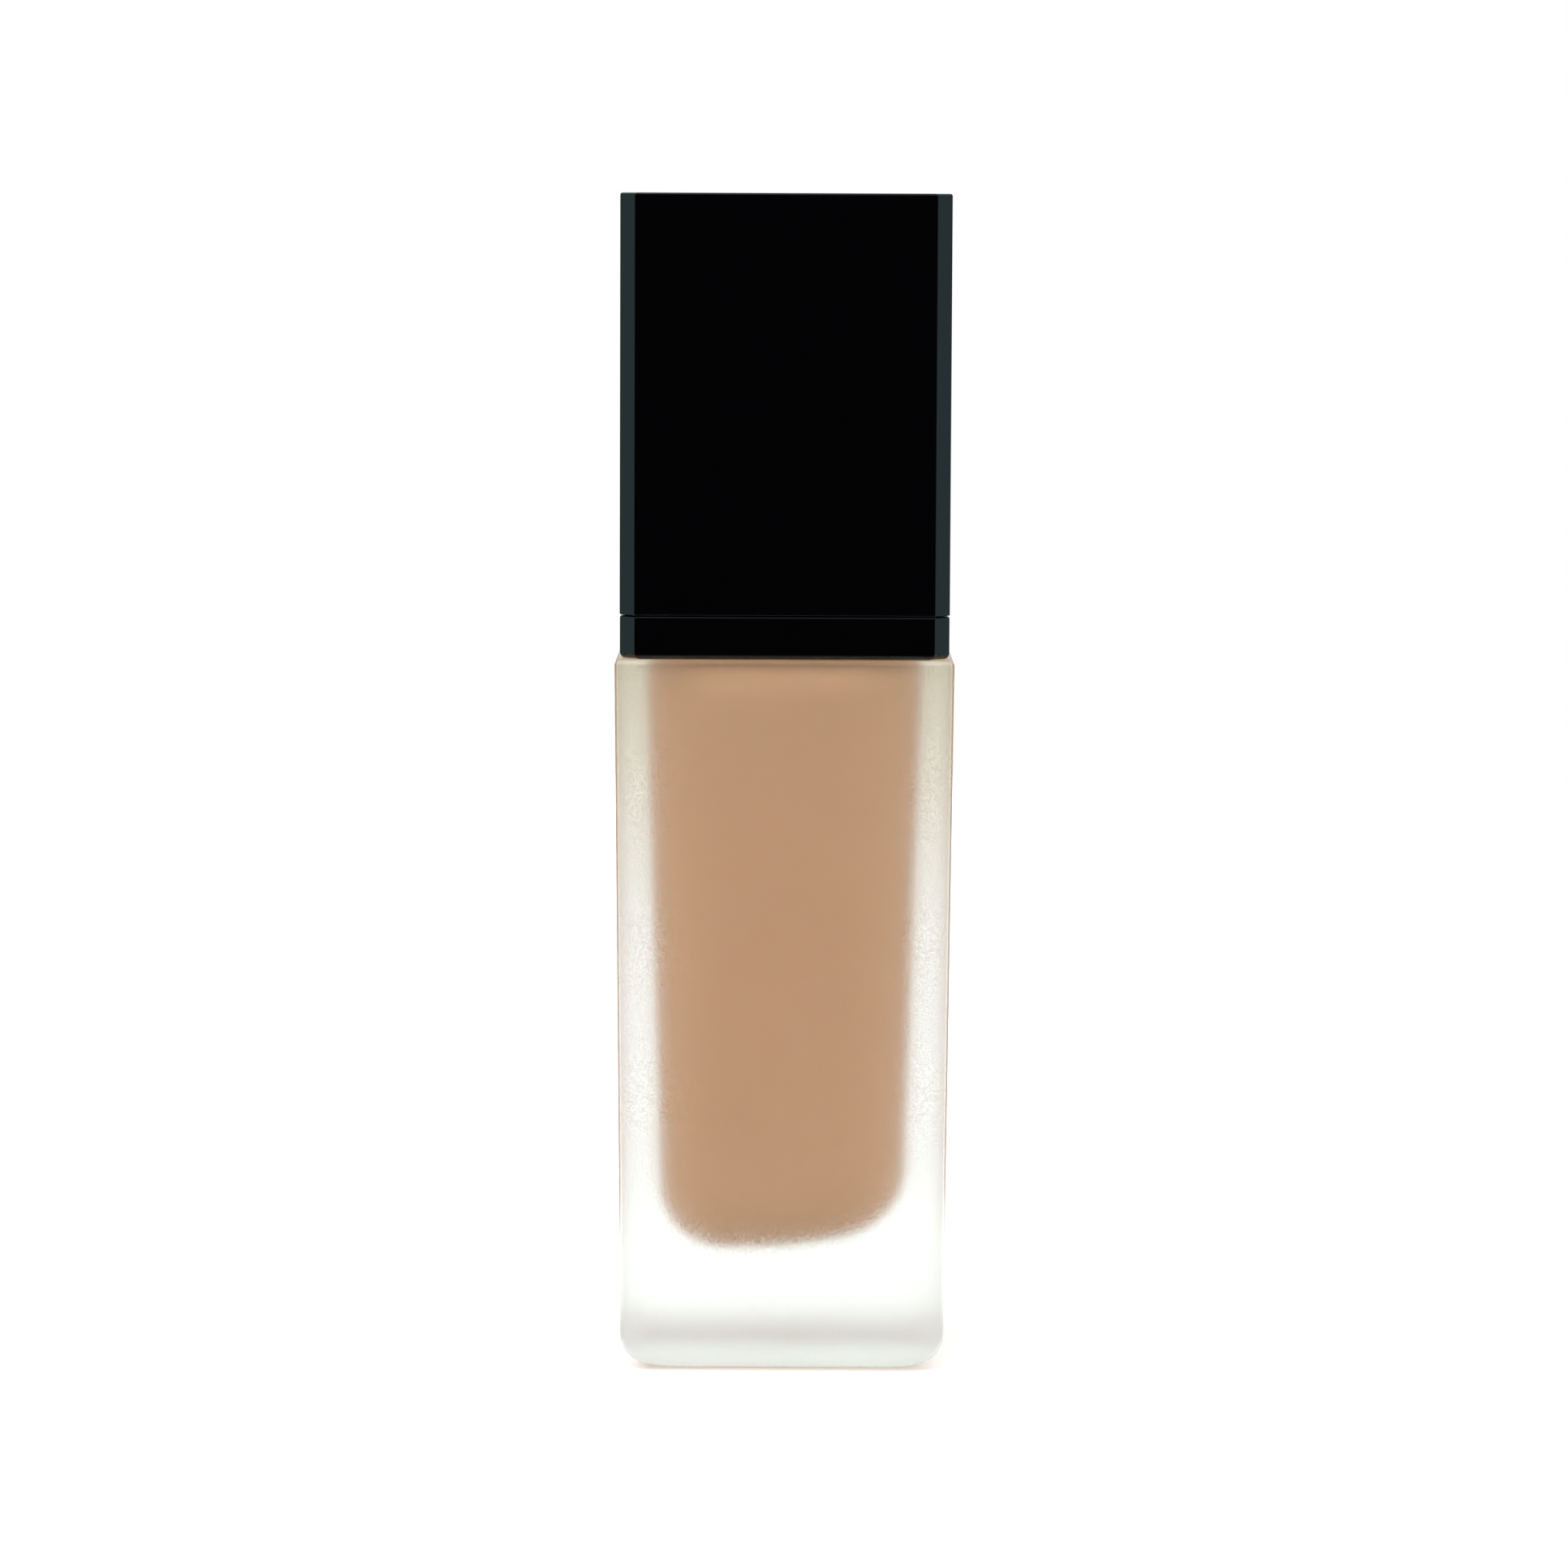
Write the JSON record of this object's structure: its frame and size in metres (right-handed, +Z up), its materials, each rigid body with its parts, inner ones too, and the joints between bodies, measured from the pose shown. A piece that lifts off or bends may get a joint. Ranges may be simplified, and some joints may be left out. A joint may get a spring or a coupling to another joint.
{
  "type": "foundation bottle",
  "caption": "Square frosted glass foundation bottle with a dip tube pump, a low square collar and a tall lift-off overcap.",
  "frame": {"origin": "middle of the resting face under the glass foot", "axes": "+Z up along the bottle, -Y towards the front, where the spout points, +X to the right seen from the front"},
  "size_m": [0.0338, 0.0338, 0.1179],
  "materials": {
    "frosted_glass": "thick moulded flint glass, acid etched outside",
    "foundation": "opaque beige emulsion",
    "black_gloss": "polished black ABS",
    "black_plastic": "moulded black polypropylene",
    "natural_plastic": "moulded natural polypropylene",
    "soft_plastic": "soft polyethylene",
    "clear_tube": "extruded polyethylene tube",
    "seal": "white elastomer washer",
    "steel": "bright stainless wire and ball"
  },
  "bodies": {
    "bottle_and_pump": {"bottle": "frosted_glass", "foundation_fill": "foundation", "neck_gasket": "seal", "snap_closure": "natural_plastic", "collar": "black_gloss", "pump_housing": "natural_plastic", "stem_guide": "natural_plastic", "ball_cage": "natural_plastic", "dip_tube": "clear_tube", "return_spring": "steel"},
    "overcap": {"overcap_shell": "black_gloss", "cap_liner": "black_plastic"},
    "stem": {"upper_stem": "natural_plastic", "piston_rod": "natural_plastic"},
    "button": {"actuator_core": "black_plastic", "actuator_cover": "black_gloss", "nozzle_insert": "natural_plastic"},
    "piston_seal": {"piston": "soft_plastic"},
    "valve_ball": {"inlet_ball": "steel"}
  },
  "joints": [
    {"name": "overcap_lift", "type": "slide", "parent": "bottle_and_pump", "child": "overcap", "axis": [0, 0, 1], "range_m": [0, 0.05]},
    {"name": "button_press", "type": "slide", "parent": "bottle_and_pump", "child": "stem", "axis": [0, 0, -1], "range_m": [0, 0.004], "stiffness_N_per_m": 1500, "springref_m": -0.002, "deforming": ["return_spring"]},
    {"name": "button_turn", "type": "hinge", "parent": "stem", "child": "button", "pos_m": [0, 0, 0.1], "axis": [0, 0, 1], "continuous": true},
    {"name": "piston_slip", "type": "slide", "parent": "stem", "child": "piston_seal", "axis": [0, 0, 1], "range_m": [0, 0.0008]},
    {"name": "ball_lift", "type": "slide", "parent": "bottle_and_pump", "child": "valve_ball", "axis": [0, 0, 1], "range_m": [0, 0.001]}
  ]
}
